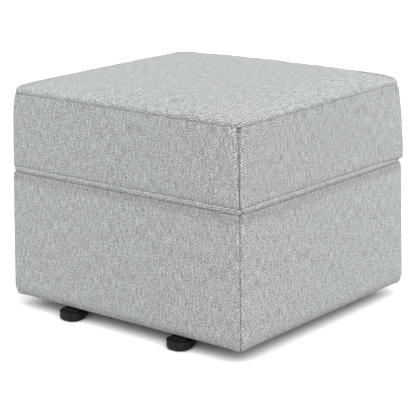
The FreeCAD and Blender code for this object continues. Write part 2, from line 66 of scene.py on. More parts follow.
# %% Lengths read from the frame
half_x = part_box("box_cover_right")[1].x
half_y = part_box("box_cover_rear")[1].y
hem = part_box("box_cover_front")[0].z
box_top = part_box("box_cover_front")[1].z
cord = (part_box("top_welt")[1].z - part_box("top_welt")[0].z) / 2
top_cord_drop = 1.5 * mm
top_cord_out = 1.8 * mm
low_cord_out = 2.2 * mm
top_cord_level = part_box("top_welt")[0].z + cord - top_cord_drop
low_cord_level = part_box("bottom_welt")[0].z + cord
top_cord_inset = half_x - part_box("top_welt")[1].x + cord - top_cord_out
low_cord_inset = half_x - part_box("bottom_welt")[1].x + cord - low_cord_out
print("half width %.4f, half depth %.4f, hem %.4f" % (half_x, half_y, hem))
print("piping at %.4f and %.4f" % (low_cord_level, top_cord_level))

# %% [markdown]
# A sheet of cloth starts as a grid. The helper turns rows and columns of points into faces in one step and
# stores each point's place on the flat cloth as a UV map, in metres. Working on whole arrays is quicker than
# a loop over vertices, and the UV map keeps the weave on the cloth however it bends.

# %% From a grid to a mesh
def grid_faces(rows, columns, closed=False):
    """Quads between neighbouring rows and columns; a closed grid joins its last column to its first."""
    index = np.arange(rows * columns).reshape(rows, columns)
    after = np.roll(index, -1, axis=1) if closed else index[:, 1:]
    before = index if closed else index[:, :-1]
    quads = np.stack([before[:-1], after[:-1], after[1:], before[1:]], axis=-1)
    return quads.reshape(-1, 4)


def mesh_object(name, points, faces, flat=None):
    """One object from points (n, 3), quads (m, 4) and each corner's place on the flat cloth (m, 4, 2)."""
    mesh = bpy.data.meshes.new(name)
    mesh.from_pydata(points.reshape(-1, 3).tolist(), [], faces.tolist())
    if flat is not None:
        layer = mesh.uv_layers.new(name="cloth")
        layer.data.foreach_set("uv", np.asarray(flat, np.float32).ravel())
    mesh.polygons.foreach_set("use_smooth", np.ones(len(faces), bool))
    mesh.update()
    piece = bpy.data.objects.new(name, mesh)
    bpy.context.scene.collection.objects.link(piece)
    return piece


def cloth_object(name, points, across, along):
    """A sheet from its grid of points (rows, columns, 3) and two grids of flat distances (rows, columns)."""
    faces = grid_faces(*points.shape[:2])
    flat = np.stack([across.ravel()[faces], along.ravel()[faces]], axis=-1)
    return mesh_object(name, points, faces, flat)


def normals_of(points):
    """Unit normals of a grid: the cross product of its steps along the columns and along the rows."""
    across = np.gradient(points, axis=1)
    along = np.gradient(points, axis=0)
    normal = np.cross(across, along)
    return normal / np.maximum(np.linalg.norm(normal, axis=-1, keepdims=True), 1e-12)


# %% [markdown]
# Seen from above the ottoman is a rounded rectangle, and its cloth is cut in four faces that meet on the
# corners. One face is a path from the middle of its left corner to the middle of its right one: an eighth of
# a circle, a straight run and another eighth. The other faces are the same path with the two half lengths
# swapped, turned by quarter turns.

# %% The four faces
FACES = ("front", "right", "rear", "left")


def half_lengths(face):
    """Half the face's own length and its distance from the middle."""
    return (half_x, half_y) if face in ("front", "rear") else (half_y, half_x)


def face_point(face, inset, radius, distance, corner):
    """Points of one face, by row inset and radius (rows, 1) and distance from its left seam (columns).

    Within an eighth of a circle of a seam, the angle from the face's direction falls evenly from 45 degrees
    to none, and the point is the corner's centre plus the radius times that angle's sine and cosine. Between
    them the point moves evenly along the straight run. The corner length tells where the runs join.
    """
    own, deep = half_lengths(face)
    length = 2 * (own - corner) + corner * math.pi / 2
    bend = corner * math.pi / 4
    left = np.clip(1 - distance / bend, 0, 1) * math.pi / 4
    right = np.clip(1 - (length - distance) / bend, 0, 1) * math.pi / 4
    straight = np.clip((distance - bend) / (length - 2 * bend), 0, 1) * 2 - 1
    along = straight * (own - inset - radius) + radius * (np.sin(right) - np.sin(left))
    out = deep - inset - radius + radius * np.cos(left + right)
    turn = FACES.index(face) * math.pi / 2
    x = along * math.cos(turn) + out * math.sin(turn)
    y = along * math.sin(turn) - out * math.cos(turn)
    return x, y


def face_length(face, corner):
    """The length of a face's path from seam to seam."""
    own, _ = half_lengths(face)
    return 2 * (own - corner) + corner * math.pi / 2


# %% [markdown]
# The sides of the box and of the cushion are profiles carried along that path. A profile is a short list of
# insets and heights: the cloth tucks under at the hem, swells to its full width, and turns in again at the
# next seam. A squared fall towards each seam makes the pull of the stitching, steep at the seam and gone a
# finger's width away. A cord sewn between two seams is squeezed taller than it is deep, and the cloth meets
# it well short of its back.

# %% Profiles
def pull(height, low, high, low_tuck, low_reach, high_tuck, high_reach):
    """How far a side is drawn in: each tuck times the square of what is left of its reach."""
    near_low = np.clip(1 - (height - low) / low_reach, 0, 1) ** 2
    near_high = np.clip(1 - (high - height) / high_reach, 0, 1) ** 2
    return low_tuck * near_low + high_tuck * near_high


def rounded_end(inset, height, radius, turn):
    """A quarter circle from a wall into its seam, upwards for turn 1 and downwards for turn -1."""
    angle = np.linspace(0, math.pi / 2, 6)
    return inset + radius * (1 - np.cos(angle)), height + turn * radius * np.sin(angle)


def side_profile(low, high, tucks, low_round, high_round, low_lip, high_lip, ease, flare=0.0):
    """Insets and heights from the low lip, round the low edge, up the wall and into the high seam."""
    heights = np.linspace(low + low_round, high - high_round, 90)
    wall = pull(heights, low, high, *tucks) - ease - flare * (high - heights) / (high - low)
    under, under_height = rounded_end(wall[0], low + low_round, low_round, -1)
    over, over_height = rounded_end(wall[-1], high - high_round, high_round, 1)
    inset = np.concatenate([[low_lip], under[:0:-1], wall, over[1:], [high_lip]])
    height = np.concatenate([[low], under_height[:0:-1], heights, over_height[1:], [high]])
    return inset, height


cord_tall = 1.35
band_start = low_cord_level + cord_tall * cord * math.sin(math.radians(34))
band_end = top_cord_level - cord_tall * cord * math.sin(math.radians(36))
hem_turn = 1.5 * mm
box_profile = side_profile(hem + hem_turn, box_top, tucks=(5.5 * mm, 24 * mm, 0.8 * mm, 30 * mm),
                           low_round=2.2 * mm, high_round=1.2 * mm, low_lip=24 * mm, high_lip=12 * mm,
                           ease=0.7 * mm, flare=5.4 * mm)
band_profile = side_profile(band_start, band_end, tucks=(0.4 * mm, 8 * mm, 0.4 * mm, 14 * mm),
                            low_round=1.2 * mm, high_round=1.0 * mm, low_lip=9 * mm, high_lip=9 * mm,
                            ease=0.9 * mm)


def profile_length(profile):
    """Distance along the cloth to each point of a profile."""
    steps = np.hypot(np.diff(profile[0]), np.diff(profile[1]))
    return np.concatenate([[0], np.cumsum(steps)])


# %% [markdown]
# A grid needs small steps where the cloth bends sharply, at the seams, and larger ones on the flat. The steps
# grow from each end by a fixed ratio until they reach the plain step.

# %% Grid steps
def graded(length, first, plain, growth=1.35):
    """Distances from 0 to length whose steps grow from first to plain, alike from both ends."""
    steps = [first]
    while steps[-1] * growth < plain:
        steps.append(steps[-1] * growth)
    near = np.concatenate([[0], np.cumsum(steps)])
    middle = np.linspace(near[-1], length - near[-1], max(3, round((length - 2 * near[-1]) / plain)))
    return np.concatenate([near[:-1], middle, (length - near[:-1])[::-1]])


# %% [markdown]
# The cushion has settled, as real ones do. Its near corner is the lowest and its rear right corner the
# highest: z grows with y, and with the product of x and y. Close to the rear right corner, by a bell of the
# distance, the band bulges out low down, leans in towards its top and sags on the lower piping. Close to the
# front left corner it leans in a little at both seams. Both of these corners dip at the very top. Every piece
# of the cushion goes through the same function, so the seams between them stay closed.

# %% How the cushion settled
bell_reach = 70 * mm


def bell(x, y, corner_x, corner_y):
    """One at a corner, falling away with the squared distance from it."""
    return np.exp(-((x - corner_x) ** 2 + (y - corner_y) ** 2) / bell_reach ** 2)


def settle(points):
    """The cushion's points as they have settled, by height in the band and by place."""
    x, y, z = points[..., 0], points[..., 1], points[..., 2]
    height = np.clip((z - band_start) / (band_end - band_start), 0, 1)
    across, back = x / half_x, y / half_y
    lift = height * mm * (3.5 + 1.5 * back + across * back)
    right = bell(x, y, half_x, half_y)
    left = bell(x, y, -half_x, -half_y)
    out = right * mm * (2.0 + 4.0 * height - 8 * height ** 2 + height ** 24)
    out = out + left * mm * ((1 - height) ** 3 + 1.8 * height ** 8)
    sag = height ** 2 * mm * (4.2 * right ** 3 + 3.0 * right ** 9 + 1.4 * left ** 3 + 2.4 * left ** 9)
    sag = sag + right * mm * 2.6 * (1 - height) ** 4
    return points + np.stack([out, out, lift - sag], axis=-1)


# %% [markdown]
# A side is the path of a face and a profile together. Its corner radius changes evenly from the lower seam to
# the upper one, because the cushion's band is rounder at its top.

# %% The sides
box_corner = 7 * mm
band_corner = 12 * mm
band_corner_low = 7 * mm
band_corner_high = 22 * mm


class Side:
    """One face of the box or of the cushion: its path, its profile and the lengths of both."""

    def __init__(self, name, face, profile, corner, low_radius, high_radius):
        self.name = name
        self.face = face
        self.profile = profile
        self.corner = corner
        self.radii = (low_radius, high_radius)
        self.width = face_length(face, corner)
        self.along = profile_length(profile)
        self.height = self.along[-1]

    def points(self, across, along):
        """Grid of points at distances across and along the cloth."""
        inset = np.interp(along, self.along, self.profile[0])[:, None]
        level = np.interp(along, self.along, self.profile[1])[:, None]
        share = (level - level.min()) / (level.max() - level.min())
        radius = self.radii[0] + (self.radii[1] - self.radii[0]) * share - inset / 2
        x, y = face_point(self.face, inset, radius, across[None, :], self.corner)
        return np.stack([x, y, level + 0 * x], axis=-1)


box_sides = [Side("box_side_" + face, face, box_profile, box_corner, box_corner, box_corner)
             for face in FACES]
band_sides = [Side("cushion_side_" + face, face, band_profile, band_corner, band_corner_low, band_corner_high)
              for face in FACES]
print("box cloth %.0f mm tall, band %.0f mm tall" % (box_sides[0].height / mm, band_sides[0].height / mm))

# %% [markdown]
# The top of the cushion is a rounded rectangle with a crown. A square grid is pressed into the rounded
# outline ring by ring, so there is no pole in the middle, and the height comes from the distance to the
# nearest edge: quick at the piping, level after a hand's width.

# %% The crown
rim_corner = 22 * mm
rim_inset = top_cord_inset + 0.76 * cord
rim_level = top_cord_level + 0.54 * cord_tall * cord
crown_reach = 170 * mm
crown_rise = 17.5 * mm
corner_reach = 85 * mm


class Crown:
    """The cushion's top cloth, on a square of -1 to 1 each way, with a skirt into the groove beyond 1."""

    def __init__(self):
        self.name = "cushion_top"
        self.half = (half_x - rim_inset, half_y - rim_inset)

    def levels(self, first, plain):
        """Places from -1 to 1, closer at the rim."""
        return graded(2 * self.half[1], first, plain) / self.half[1] - 1

    def points(self, across, along):
        """Grid of points: each square ring becomes a rounded rectangle, its corners eighths of a circle."""
        p, q = np.meshgrid(across, along)
        ring = np.maximum(np.maximum(np.abs(p), np.abs(q)), 1e-9)
        size_x, size_y = self.half[0] * ring, self.half[1] * ring
        radius = rim_corner * ring
        wide = np.abs(p) >= np.abs(q)
        run = np.where(wide, size_y * np.abs(q) / ring, size_x * np.abs(p) / ring)
        straight = np.where(wide, size_y, size_x) - radius
        angle = np.clip((run - straight) / radius, 0, 1) * math.pi / 4
        near = np.minimum(run, straight) + radius * np.sin(angle)
        far = np.where(wide, size_x, size_y) - radius + radius * np.cos(angle)
        x = np.sign(p) * np.where(wide, far, near)
        y = np.sign(q) * np.where(wide, near, far)
        return np.stack([x, y, self.height_at(x, y)], axis=-1)

    def height_at(self, x, y):
        """Height by the distances to the two nearest edges, whose product over their sum is low in a corner.

        A bell of the distance to the corner takes most of what is left, because the corner's foam is thinner.
        """
        from_x = np.maximum(self.half[0] - np.abs(x), 1e-6)
        from_y = np.maximum(self.half[1] - np.abs(y), 1e-6)
        share = np.clip(from_x * from_y / (from_x + from_y) / crown_reach, 0, 1)
        corner = 0.75 * np.exp(-(from_x ** 2 + from_y ** 2) / corner_reach ** 2)
        return rim_level + crown_rise * (1 - (1 - share) ** 8) * (1 - corner)


crown = Crown()

# %% [markdown]
# Upholstery never lies quite still: the foam pushes it out, the seams hold it back, and small puckers run
# from the stitches. Blender's Cloth finds that shape. A coarse copy of every panel is pinned along its seams,
# given a little more cloth than it needs and blown out by a soft pressure. What it gives is kept as a
# distance along the normal, so the fine grid made afterwards can follow it at any density.

# %% Cloth simulation
sim_step = 8 * mm
spare_cloth = 0.006
pressure = 4.0
sim_frames = 20


def coarse(surface):
    """The places across and along of a panel's coarse grid."""
    if surface is crown:
        level = surface.levels(sim_step, sim_step)
        return level, level
    across = np.linspace(0, surface.width, round(surface.width / sim_step) + 1)
    along = np.linspace(0, surface.height, round(surface.height / sim_step) + 1)
    return across, along


def simulate(surfaces):
    """Puffs all panels at once; gives, by name, the distance each coarse point moved along its normal."""
    grids = [surface.points(*coarse(surface)) for surface in surfaces]
    points, faces, seams, start = [], [], [], 0
    for grid in grids:
        rows, columns = grid.shape[:2]
        edge = np.zeros((rows, columns), bool)
        edge[[0, -1]] = True
        edge[:, [0, -1]] = True
        points.append(grid.reshape(-1, 3))
        faces.append(grid_faces(rows, columns) + start)
        seams.append(edge.ravel())
        start += rows * columns
    sheet = mesh_object("cloth_trial", np.concatenate(points), np.concatenate(faces))
    pins = sheet.vertex_groups.new(name="seams")
    pins.add(np.flatnonzero(np.concatenate(seams)).tolist(), 1.0, "REPLACE")
    cloth = sheet.modifiers.new("Cloth", "CLOTH")
    cloth.point_cache.frame_end = sim_frames
    settings = cloth.settings
    settings.quality = 6
    settings.mass = 0.3
    settings.tension_stiffness = 30
    settings.compression_stiffness = 30
    settings.shear_stiffness = 15
    settings.bending_stiffness = 1.5
    settings.use_pressure = True
    settings.uniform_pressure_force = pressure
    settings.shrink_min = -spare_cloth
    settings.effector_weights.gravity = 0
    settings.vertex_group_mass = "seams"
    scene = bpy.context.scene
    for step in range(1, sim_frames + 1):
        scene.frame_set(step)
    settled = sheet.evaluated_get(bpy.context.evaluated_depsgraph_get())
    moved = np.empty(start * 3, np.float32)
    settled.data.vertices.foreach_get("co", moved)
    moved = moved.reshape(-1, 3).astype(float)
    scene.frame_set(1)
    bpy.data.objects.remove(sheet)
    puffs, start = {}, 0
    for surface, grid in zip(surfaces, grids):
        rows, columns = grid.shape[:2]
        shift = moved[start:start + rows * columns].reshape(rows, columns, 3) - grid
        puffs[surface.name] = np.sum(shift * normals_of(grid), axis=-1)
        start += rows * columns
    return puffs


surfaces = box_sides + band_sides + [crown]
puffs = simulate(surfaces)
for name, puff in puffs.items():
    print("puff of %-20s mean %5.2f mm, most %5.2f mm" % (name, puff.mean() / mm, puff.max() / mm))


def puff_at(surface, across, along, cap):
    """The simulated distance on a finer grid: read in rows, then in columns, and held under a cap."""
    if surface.name not in puffs:
        return np.zeros((len(along), len(across)))
    own_across, own_along = coarse(surface)
    puff = puffs[surface.name]
    rows = np.stack([np.interp(across, own_across, row) for row in puff])
    fine = np.stack([np.interp(along, own_along, column) for column in rows.T], axis=1)
    return cap * np.tanh(fine / cap) * hold(surface, across, along)


def hold(surface, across, along):
    """How much of the puff is kept: none on a seam, all of it 30 mm away."""
    near_across = np.minimum(across - across[0], across[-1] - across)
    near_along = np.minimum(along - along[0], along[-1] - along)
    unit = surface.half[1] if surface is crown else 1.0
    near = np.minimum(near_across[None, :], near_along[:, None]) * unit
    return np.clip(near / (30 * mm), 0, 1) ** 0.7


# %% [markdown]
# Small forms go on top of the simulated one. Each vertical seam is a groove where two faces of cloth turn in
# and meet, with a low pad beside it and a pinch at every stitch. Along the piping the cloth puckers where it
# was eased in. The puckers are a few sine waves of uneven length with seeded phases, faded away from the
# seam.

# %% Seams and puckers
stitch_pitch = 4.6 * mm


def waves(places, lengths, seed):
    """Sum of sine waves of the given lengths with seeded phases, scaled to about -1 to 1."""
    phases = np.random.default_rng(seed).uniform(0, 2 * math.pi, len(lengths))
    total = sum(np.sin(places * 2 * math.pi / length + phase) for length, phase in zip(lengths, phases))
    return total / len(lengths)


def seam_form(distance, height, depth, width):
    """Groove at a vertical seam: a bell-shaped valley, a pad beside it and a pinch at every stitch."""
    valley = -depth * np.exp(-(distance / width) ** 2)
    pad = 0.35 * mm * np.exp(-((distance - 9 * mm) / (6 * mm)) ** 2)
    pinch = 0.16 * mm * np.exp(-distance / (4 * mm)) * np.cos(height * 2 * math.pi / stitch_pitch)
    return valley + pad + pinch * (distance > 0.5 * mm)


def side_form(side, across, along, depth, width, seed):
    """Everything that stands off a side's plain shape, as a distance along its normal."""
    s, v = np.meshgrid(across, along)
    left, right = s, side.width - s
    low, high = v, side.height - v
    form = seam_form(left, v, depth, width) + seam_form(right, v, depth, width)
    lengths = np.array([11, 17, 23, 37]) * mm
    edges = np.exp(-low / (9 * mm)) + np.exp(-high / (9 * mm))
    form += 0.22 * mm * edges * waves(s, lengths, seed)
    slow = waves(s, np.array([130, 210, 340]) * mm, seed + 1) * waves(v, np.array([90, 160]) * mm, seed + 2)
    inside = np.clip(np.minimum(low, high) / (30 * mm), 0, 1)
    return form + 0.5 * mm * slow * inside


# %% [markdown]
# Now each panel is built on its fine grid: plain shape, plus puff, plus seams. A solid wall of cloth
# thickness grows inwards from it, so no panel is a paper-thin sheet.

# %% Building the panels
cloth_thickness = 1.6 * mm


def thicken(piece, thickness=cloth_thickness):
    """Gives a sheet its thickness, inwards."""
    wall = piece.modifiers.new("Thickness", "SOLIDIFY")
    wall.thickness = thickness
    wall.offset = -1
    return piece


def make_side(side, depth, width, cap, seed):
    """A side panel. Every second face is flipped on the flat cloth, so its twill leans the other way."""
    across = graded(side.width, 0.35 * mm, 3.6 * mm)
    along = graded(side.height, 0.9 * mm, 3.6 * mm)
    points = side.points(across, along)
    stand = puff_at(side, across, along, cap) + side_form(side, across, along, depth, width, seed)
    points = points + normals_of(points) * stand[..., None]
    if side in band_sides:
        points = settle(points)
    s, v = np.meshgrid(across, along)
    turn = FACES.index(side.face)
    lean = -1 if turn % 2 else 1
    return thicken(cloth_object(side.name, points, lean * s + turn * 0.7, v + side.profile[1][0]))


pieces = {}
for number, side in enumerate(box_sides):
    pieces[side.name] = make_side(side, depth=3.2 * mm, width=1.2 * mm, cap=0.8 * mm, seed=10 * number + 1)
for number, side in enumerate(band_sides):
    pieces[side.name] = make_side(side, depth=5.4 * mm, width=2.0 * mm, cap=0.6 * mm, seed=10 * number + 101)
print(len(pieces), "side panels")

# %% [markdown]
# The top cloth is the crown's grid with its puff and a slow unevenness where people rest their feet. Its warp
# runs from the front to the rear, as the streaks in the cloth show.

# %% The cushion's top
def make_top():
    """The top cloth, with its edge turned down into the groove beside the piping."""
    level = crown.levels(0.8 * mm, 4 * mm)
    points = crown.points(level, level)
    stand = puff_at(crown, level, level, 3 * mm)
    x, y = points[..., 0], points[..., 1]
    slow = waves(x, np.array([150, 230, 310]) * mm, 7) * waves(y, np.array([140, 260]) * mm, 8)
    rim = np.minimum(crown.half[0] - np.abs(x), crown.half[1] - np.abs(y))
    around = np.arctan2(y, x) * crown.half[0]
    pucker = 0.25 * mm * np.exp(-rim / (12 * mm)) * waves(around, np.array([13, 19, 29]) * mm, 9)
    stand = stand + 0.6 * mm * slow * np.clip(rim / (40 * mm), 0, 1) + pucker
    points = points + normals_of(points) * stand[..., None]
    turned_down = 3 * mm
    points[..., 2] -= turned_down * np.clip(1 - rim / turned_down, 0, 1) ** 2
    return thicken(cloth_object("cushion_top", settle(points), x, y + 3.1))


pieces["cushion_top"] = make_top()
print("cushion top reaches", round(max(v.co.z for v in pieces["cushion_top"].data.vertices) / mm, 1), "mm")

# %% [markdown]
# Piping is a cord wrapped in the same cloth, cut on the bias. It is a circle carried along the rounded
# rectangle, slightly uneven as hand-sewn piping is, and its flat cloth is turned by 45 degrees. On the lower
# piping the wrap ends overlap near the front right corner, as a low step.

# %% Piping
def ring_path(inset, radius, step):
    """Points, outward directions and distances round a rounded rectangle, at an even step."""
    own_x, own_y = half_x - inset - radius, half_y - inset - radius
    runs = [2 * own_x, radius * math.pi / 2, 2 * own_y, radius * math.pi / 2] * 2
    bounds = np.concatenate([[0], np.cumsum(runs)])
    distance = np.linspace(0, bounds[-1], round(bounds[-1] / step), endpoint=False)
    run = np.searchsorted(bounds, distance, side="right") - 1
    share = (distance - bounds[run]) / np.array(runs)[run]
    quarter = run // 2
    angle = -math.pi / 2 + quarter * math.pi / 2 + np.where(run % 2 == 1, share, 0) * math.pi / 2
    out = np.stack([np.cos(angle), np.sin(angle)], axis=-1)
    corners = np.array([[-own_x, -own_y], [own_x, -own_y], [own_x, own_y], [-own_x, own_y]])
    start, end = corners[quarter], corners[(quarter + 1) % 4]
    centre = start + (end - start) * np.where(run % 2 == 0, share, 1.0)[:, None]
    return centre + out * radius, out, distance


def make_piping(name, level, inset, radius, seed, settled=False, join_at=None):
    """A tube: path point plus cord radius times the cosine outwards, and times the taller sine upwards."""
    path, out, distance = ring_path(inset, radius, 3 * mm)
    sides = 22
    angle = np.arange(sides) * 2 * math.pi / sides
    thick = cord * (1 + 0.018 * waves(distance, np.array([31, 47, 83]) * mm, seed))
    if join_at is not None:
        past = distance - join_at
        thick = thick + 0.45 * mm * np.exp(-np.clip(-past, 0, None) / (12 * mm)) * (past < 0)
        thick = thick - 0.8 * mm * np.exp(-(past / (1.2 * mm)) ** 2)
    sway = 0.25 * mm * waves(distance, np.array([140, 230, 390]) * mm, seed + 1)
    radial = thick[:, None] * np.cos(angle)
    rise = thick[:, None] * cord_tall * np.sin(angle)
    flat_xy = path[:, None] + out[:, None] * radial[..., None]
    points = np.concatenate([flat_xy, (level + sway[:, None] + rise)[..., None]], axis=-1)
    rows, columns = points.shape[:2]
    if settled:
        points = settle(points)
    faces = grid_faces(rows + 1, columns, closed=True) % (rows * columns)
    ring = np.tile(np.arange(columns), rows)[:, None] + np.array([0, 1, 1, 0])
    place = np.repeat(np.arange(rows), columns)[:, None] + np.array([0, 0, 1, 1])
    around = ring * 2 * math.pi * cord / sides
    length = place * distance[1]
    bias = np.stack([length + around, length - around], axis=-1) / math.sqrt(2)
    return mesh_object(name, points, faces, bias)


top_bend = 22 * mm
low_bend = 10 * mm
join_from_corner = 24 * mm
front_run = 2 * (half_x - low_cord_inset - low_bend)
pieces["top_piping"] = make_piping("top_piping", top_cord_level, top_cord_inset, top_bend, seed=31,
                                   settled=True)
pieces["lower_piping"] = make_piping("lower_piping", low_cord_level, low_cord_inset, low_bend, seed=37,
                                     join_at=front_run - join_from_corner + low_bend)
print("piping is %.1f mm thick" % (2 * cord / mm))

# %% [markdown]
# Materials are built from nodes. A small helper adds a node, sets its options and joins its inputs, so that a
# material reads as a short list of steps.

# %% Node helper
class Steps:
    """Adds nodes to a material one after another."""

    def __init__(self, name):
        self.material = bpy.data.materials.new(name)
        self.material.use_nodes = True
        self.tree = self.material.node_tree
        self.shader = self.tree.nodes["Principled BSDF"]

    def add(self, kind, *inputs, out=0, **options):
        """A node with inputs by position (a number, a colour or another socket); None is left alone."""
        made = self.tree.nodes.new(kind)
        for option, value in options.items():
            setattr(made, option, value)
        for socket, value in zip(made.inputs, inputs):
            self.join(socket, value)
        return made.outputs[out]

    def join(self, socket, value):
        """Links a socket, or sets its value."""
        if isinstance(value, bpy.types.NodeSocket):
            self.tree.links.new(value, socket)
        elif value is not None:
            socket.default_value = value

    def math(self, operation, *inputs):
        """One sum on numbers."""
        return self.add("ShaderNodeMath", *inputs, operation=operation)

    def noise(self, vector, scale, detail=2.0, roughness=0.5):
        """Cloudy noise from 0 to 1."""
        made = self.tree.nodes.new("ShaderNodeTexNoise")
        self.join(made.inputs["Vector"], vector)
        made.inputs["Scale"].default_value = scale
        made.inputs["Detail"].default_value = detail
        made.inputs["Roughness"].default_value = roughness
        return made.outputs["Fac"]

    def split(self, vector):
        """The three numbers of a vector."""
        made = self.tree.nodes.new("ShaderNodeSeparateXYZ")
        self.join(made.inputs[0], vector)
        return made.outputs

    def vector(self, x, y, z=0.0):
        """A vector from three numbers."""
        return self.add("ShaderNodeCombineXYZ", x, y, z)

    def scaled(self, x, x_scale, y, y_scale):
        """A vector whose two numbers are scaled each on its own."""
        return self.vector(self.math("MULTIPLY", x, x_scale), self.math("MULTIPLY", y, y_scale))

    def blend(self, share, first, second):
        """A colour between two, by a share."""
        made = self.tree.nodes.new("ShaderNodeMix")
        made.data_type = "RGBA"
        self.join(made.inputs["Factor"], share)
        self.join(made.inputs[6], first)
        self.join(made.inputs[7], second)
        return made.outputs[2]

    def mapped(self, place, **values):
        """A place scaled or turned, by the mapping node's own inputs."""
        made = self.tree.nodes.new("ShaderNodeMapping")
        self.join(made.inputs["Vector"], place)
        for name, value in values.items():
            made.inputs[name].default_value = value
        return made.outputs[0]

    def bump(self, height, strength, distance):
        """Turns a height into tilted normals on the shader."""
        made = self.tree.nodes.new("ShaderNodeBump")
        made.inputs["Strength"].default_value = strength
        made.inputs["Distance"].default_value = distance
        self.join(made.inputs["Height"], height)
        self.tree.links.new(made.outputs["Normal"], self.shader.inputs["Normal"])

    def finish(self, **values):
        """Sets or links the shader's own inputs by name, with underscores for spaces."""
        for name, value in values.items():
            self.join(self.shader.inputs[name.replace("_", " ")], value)
        return self.material


# %% [markdown]
# The cloth is a fine twill of a pale warp and a greener weft. Each yarn has its own tone, which drifts along
# its length, and longer slubs run through the warp; that is what gives tweed its upright streaks. Counting
# yarns by rounding down the flat distance, and feeding the count to a noise texture, gives every yarn a tone
# of its own. Four yarns make one step of the twill, over two and under two. The photograph shows the twill
# crisply at the near corner and softly elsewhere, so the pattern's strength follows the place on the object.
# Just under each welt the cloth lies in its shade. These broad lamps reach in there, so the cloth's own tone
# is lowered a little at that height.

# %% Upholstery cloth
def object_place(steps):
    """The point's own place on the object."""
    return steps.add("ShaderNodeTexCoord", out=3)


warp_pitch = 1.7 * mm
weft_pitch = 1.03 * mm
pale_warp = (0.462, 0.477, 0.462, 1)
sage_weft = (0.195, 0.219, 0.203, 1)
warm_weft = (0.233, 0.23, 0.223, 1)
sage_mean = (0.328, 0.346, 0.331, 1)
yarn_share, streak_share, fleck_share = 0.4, 1.4, 1.7
crisp_from, crisp_to = 0.34, 0.50
least_crisp, most_crisp = 0.30, 0.95
under_welts = ((low_cord_level - 13 * mm, 12 * mm, 0.20), (top_cord_level - 5 * mm, 6 * mm, 0.09))


def welt_shade(steps, tone, level):
    """The tone, lowered by a bell of the height under each welt."""
    for middle, reach, strength in under_welts:
        distance = steps.math("DIVIDE", steps.math("SUBTRACT", level, middle), reach)
        squared = steps.math("MULTIPLY", distance, distance)
        near = steps.math("EXPONENT", steps.math("MULTIPLY", squared, -1))
        tone = steps.math("MULTIPLY", tone, steps.math("MULTIPLY_ADD", near, -strength, 1))
    return tone


def yarn_round(steps, place):
    """The rounded back of each yarn, 0 beside it and 1 on top."""
    return steps.math("SINE", steps.math("MULTIPLY", steps.math("FRACT", place), math.pi))


def make_tweed():
    """Twill with a tone for every yarn; reads the flat cloth's UV map in metres, and the object's place."""
    steps = Steps("sage_tweed")
    flat = steps.add("ShaderNodeUVMap", uv_map="cloth")
    across, along = steps.split(flat)[:2]
    warp_place = steps.math("DIVIDE", across, warp_pitch)
    weft_place = steps.math("DIVIDE", along, weft_pitch)
    warp_number = steps.math("FLOOR", warp_place)
    weft_number = steps.math("FLOOR", weft_place)

    patches = steps.noise(steps.scaled(warp_number, 0.09, weft_number, 0.06), 1.0, 1.0)
    jump = steps.math("FLOOR", steps.math("MULTIPLY", patches, 4))
    step = steps.math("SUBTRACT", steps.math("ADD", weft_number, jump), warp_number)
    over = steps.math("LESS_THAN", steps.math("FLOORED_MODULO", step, 4), 2)

    warp_tone = steps.noise(steps.scaled(warp_number, 7.31, along, 60), 1.0, 1.0)
    streak = steps.noise(steps.scaled(across, 420, along, 45), 1.0, 2.0, 0.6)
    fleck = steps.noise(steps.scaled(across, 340, along, 310), 1.0, 1.0)
    tone = 1 - (yarn_share + streak_share + fleck_share) / 2
    for source, share in ((warp_tone, yarn_share), (streak, streak_share), (fleck, fleck_share)):
        tone = steps.math("MULTIPLY_ADD", source, share, tone)
    x, y, z = steps.split(object_place(steps))
    tone = welt_shade(steps, tone, z)

    nearness = steps.add("ShaderNodeMapRange", steps.math("SUBTRACT", x, y), crisp_from, crisp_to,
                         least_crisp, most_crisp)
    hue = steps.noise(steps.scaled(across, 130, along, 60), 1.0)
    pattern = steps.blend(over, steps.blend(hue, sage_weft, warm_weft), pale_warp)
    pattern = steps.blend(nearness, sage_mean, pattern)
    toned = steps.add("ShaderNodeVectorMath", pattern, operation="SCALE")
    steps.join(toned.node.inputs["Scale"], tone)
    warp_height = steps.math("MULTIPLY", yarn_round(steps, warp_place), steps.math("ADD", over, 0.4))
    weft_height = steps.math("MULTIPLY", yarn_round(steps, weft_place), steps.math("SUBTRACT", 1.4, over))
    steps.bump(steps.math("ADD", warp_height, weft_height), 0.4, 0.2 * mm)
    return steps.finish(Base_Color=toned, Roughness=0.92, Sheen_Weight=0.1, Sheen_Roughness=0.5,
                        Specular_IOR_Level=0.2)


tweed = make_tweed()
for piece in pieces.values():
    piece.data.materials.append(tweed)
    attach(piece, "seat_box")

# %% [markdown]
# Each new piece stands for the plain solids in its place: a side for its cover and the padding under it, the
# top for the top cloth and the foam.

# %% What the pieces stand for
for face in FACES:
    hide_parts("box_cover_" + face, "box_padding_" + face)
    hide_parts("boxing_" + face)
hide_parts("top_panel", "seat_foam")
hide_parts("top_welt")
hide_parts("bottom_welt")

# %% [markdown]
# Under the hem a black lining is stapled to the boards. It is a flat sheet that sags a little, with two long
# slots where the base's side plates pass through. Its grid has lines on the slots' edges, and the cells
# inside them are left out.

# %% Dust cover
lining_low, lining_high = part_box("dust_cover")
slot_half_long = 212 * mm
slot_inner = 124 * mm
slot_outer = 158 * mm


def grid_lines(corners, counts):
    """Places between the given corners, a count for each gap."""
    runs = [np.linspace(low, high, count) for low, high, count in zip(corners, corners[1:], counts)]
    return np.unique(np.concatenate(runs).round(6))


